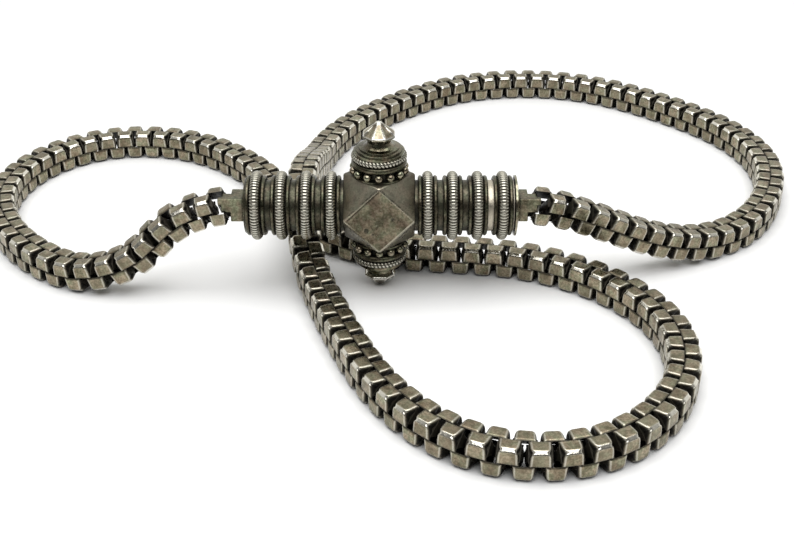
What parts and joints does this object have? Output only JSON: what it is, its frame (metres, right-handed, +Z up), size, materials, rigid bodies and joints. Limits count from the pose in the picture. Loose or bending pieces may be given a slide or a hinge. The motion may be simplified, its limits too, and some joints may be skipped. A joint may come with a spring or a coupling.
{
  "type": "chain necklace with barrel clasp",
  "caption": "Closed necklace of square box-link chain with a milled barrel clasp, faceted centre block and two bud finials.",
  "frame": {"origin": "on the surface the necklace lies on, under the middle of its bounding box", "axes": "+X along the clasp towards the screw collar, +Y away from the front of the clasp, +Z up"},
  "size_m": [0.1743, 0.1609, 0.034],
  "materials": {
    "chain_silver": "worn, tarnished in the hollows",
    "worn_silver": "worn satin",
    "bare_silver": "rubbed bright",
    "dark_silver": "dark oxidised",
    "resin": "dull lac resin"
  },
  "bodies": {
    "necklace": {"centre_block": "worn_silver", "block_core": "resin", "left_tube": "dark_silver", "left_milled_rings": "worn_silver", "left_plain_wires": "dark_silver", "left_end_cone": "dark_silver", "left_bail": "chain_silver", "right_tube": "bare_silver", "right_milled_rings": "worn_silver", "right_plain_wires": "dark_silver", "bail_plug": "bare_silver", "right_bail": "chain_silver", "upper_finial_post": "dark_silver", "upper_finial_granules": "bare_silver", "upper_finial_wire": "dark_silver", "upper_finial_milled_ring": "worn_silver", "upper_finial_dome": "worn_silver", "upper_finial_bud": "bare_silver", "lower_finial_post": "dark_silver", "lower_finial_granules": "bare_silver", "lower_finial_wire": "dark_silver", "lower_finial_milled_ring": "worn_silver", "lower_finial_dome": "worn_silver", "lower_finial_bud": "bare_silver", "chain_01": "chain_silver", "chain_02": "chain_silver", "chain_03": "chain_silver", "chain_04": "chain_silver", "chain_05": "chain_silver", "chain_06": "chain_silver", "chain_07": "chain_silver", "chain_08": "chain_silver", "chain_09": "chain_silver", "chain_10": "chain_silver", "chain_11": "chain_silver", "chain_12": "chain_silver", "chain_13": "chain_silver", "chain_14": "chain_silver", "chain_15": "chain_silver", "chain_16": "chain_silver", "chain_17": "chain_silver", "chain_18": "chain_silver", "chain_19": "chain_silver", "chain_20": "chain_silver"},
    "collar_sleeve": {"collar_sleeve": "dark_silver"},
    "collar": {"collar_milled_ring": "worn_silver", "collar_plain_wires": "dark_silver"},
    "right_first_link": {"right_first_link": "chain_silver"},
    "left_first_link": {"left_first_link": "chain_silver"}
  },
  "joints": [
    {"name": "collar_travel", "type": "slide", "parent": "necklace", "child": "collar_sleeve", "axis": [1, 0, 0], "range_m": [-0.001, 0.00035]},
    {"name": "collar_turn", "type": "hinge", "parent": "collar_sleeve", "child": "collar", "pos_m": [0.02025, -0.0205, 0.017], "axis": [1, 0, 0], "range_deg": [-405, 145]},
    {"name": "right_link_swing", "type": "hinge", "parent": "necklace", "child": "right_first_link", "pos_m": [0.02707, -0.0205, 0.017], "axis": [0, -0.7071, 0.7071], "range_deg": [-3, 3]},
    {"name": "left_link_swing", "type": "hinge", "parent": "necklace", "child": "left_first_link", "pos_m": [-0.03247, -0.0205, 0.017], "axis": [0, -0.7071, 0.7071], "range_deg": [-3, 3]}
  ],
  "couplings": [
    {"joint": "collar_turn", "follows": "collar_travel", "rad_per_m": 6981.3}
  ]
}
